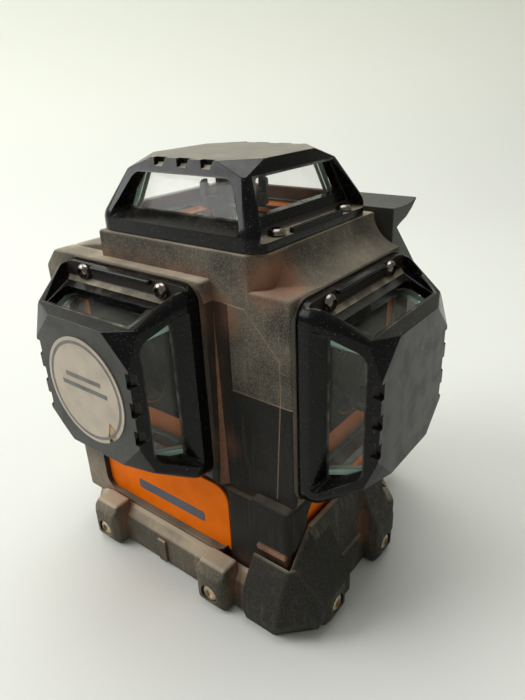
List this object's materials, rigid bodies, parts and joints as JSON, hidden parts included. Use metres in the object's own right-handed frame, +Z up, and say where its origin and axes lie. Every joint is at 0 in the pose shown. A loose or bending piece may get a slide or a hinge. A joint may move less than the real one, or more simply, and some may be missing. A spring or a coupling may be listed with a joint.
{
  "type": "line laser level",
  "caption": "Self-levelling laser instrument with glazed turrets on its top, front and side, a gimballed pendulum of laser modules, rear keypad, slide-off battery and rubber bumper base.",
  "frame": {"origin": "centre of the bounding box at the ground, under the bumper", "axes": "+Z up; -Y is the front, where the labelled turret faces; +X is the side turret's direction"},
  "size_m": [0.1372, 0.1186, 0.1443],
  "materials": {
    "rubber": "dusty moulded rubber",
    "dark_plastic": "satin moulding",
    "soft_grey": "matt",
    "orange_label": "satin print",
    "gloss_black": "gloss with worn edges",
    "pane_glass": "clear",
    "orange_deck": "matt",
    "aluminium": "machined",
    "holder_grey": "matt",
    "mirror": "polished",
    "bright_steel": "bright",
    "brass": "turned",
    "copper": "bare",
    "board_green": "lacquered",
    "cream_paper": "paper"
  },
  "bodies": {
    "housing": {"body_shell": "rubber", "base_bumper": "rubber", "rear_console": "dark_plastic", "base_plate": "dark_plastic", "keypad_panel": "soft_grey", "front_label": "orange_label", "side_label": "orange_label", "front_turret_cage": "gloss_black", "front_turret_glass": "pane_glass", "front_turret_deck": "orange_deck", "front_turret_screw_1": "bright_steel", "front_turret_screw_2": "bright_steel", "front_turret_screw_3": "bright_steel", "front_turret_screw_4": "bright_steel", "side_turret_cage": "gloss_black", "side_turret_glass": "pane_glass", "side_turret_deck": "orange_deck", "side_turret_screw_1": "bright_steel", "side_turret_screw_2": "bright_steel", "side_turret_screw_3": "bright_steel", "side_turret_screw_4": "bright_steel", "top_turret_cage": "gloss_black", "top_turret_glass": "pane_glass", "top_turret_deck": "orange_deck", "top_turret_screw_1": "bright_steel", "top_turret_screw_2": "bright_steel", "top_turret_screw_3": "bright_steel", "top_turret_screw_4": "bright_steel", "tripod_bush": "brass", "battery_terminal": "brass", "charge_socket": "bright_steel", "left_pitch_bearing": "bright_steel", "right_pitch_bearing": "bright_steel", "damper_magnet": "bright_steel", "gimbal_chassis": "aluminium", "circuit_board": "board_green", "inspection_sticker": "cream_paper"},
    "gimbal": {"gimbal_ring": "aluminium", "front_roll_bearing": "bright_steel", "back_roll_bearing": "bright_steel"},
    "pendulum": {"pendulum_block": "aluminium", "damper_plate": "copper", "front_laser_barrel": "aluminium", "front_mirror_holder": "holder_grey", "front_cone_mirror": "mirror", "side_laser_barrel": "aluminium", "side_mirror_holder": "holder_grey", "side_cone_mirror": "mirror", "top_laser_barrel": "aluminium", "top_mirror_holder": "holder_grey", "top_cone_mirror": "mirror"},
    "battery": {"battery_pack": "dark_plastic"},
    "latch": {"battery_latch": "soft_grey"},
    "flap": {"port_flap": "rubber"},
    "lock": {"lock_knob": "rubber", "lock_shaft": "bright_steel"},
    "power_key": {"power_key": "rubber"},
    "level_line_key": {"level_line_key": "rubber"},
    "upright_line_key": {"upright_line_key": "rubber"},
    "pulse_key": {"pulse_key": "rubber"}
  },
  "joints": [
    {"name": "pitch", "type": "hinge", "parent": "housing", "child": "gimbal", "pos_m": [0.00415, -0.00275, 0.097], "axis": [1, 0, 0], "range_deg": [-4, 4]},
    {"name": "roll", "type": "hinge", "parent": "gimbal", "child": "pendulum", "pos_m": [0.00415, -0.00275, 0.097], "axis": [0, 1, 0], "range_deg": [-4, 4]},
    {"name": "lock_turn", "type": "hinge", "parent": "housing", "child": "lock", "pos_m": [-0.05585, -0.00275, 0.042], "axis": [-1, 0, 0], "range_deg": [0, 90]},
    {"name": "flap_hinge", "type": "hinge", "parent": "housing", "child": "flap", "pos_m": [-0.03505, 0.04975, 0.073], "axis": [0, 1, 0], "range_deg": [0, 110]},
    {"name": "battery_slide", "type": "slide", "parent": "housing", "child": "battery", "axis": [0, 1, 0], "range_m": [0, 0.03]},
    {"name": "latch_slide", "type": "slide", "parent": "battery", "child": "latch", "axis": [0, 0, -1], "range_m": [0, 0.003], "stiffness_N_per_m": 300},
    {"name": "power_key_press", "type": "slide", "parent": "housing", "child": "power_key", "axis": [0, -0.704, -0.7102], "range_m": [0, 0.0008], "stiffness_N_per_m": 600},
    {"name": "level_line_key_press", "type": "slide", "parent": "housing", "child": "level_line_key", "axis": [0, -0.704, -0.7102], "range_m": [0, 0.0008], "stiffness_N_per_m": 600},
    {"name": "upright_line_key_press", "type": "slide", "parent": "housing", "child": "upright_line_key", "axis": [0, -0.704, -0.7102], "range_m": [0, 0.0008], "stiffness_N_per_m": 600},
    {"name": "pulse_key_press", "type": "slide", "parent": "housing", "child": "pulse_key", "axis": [0, -0.704, -0.7102], "range_m": [0, 0.0008], "stiffness_N_per_m": 600}
  ]
}
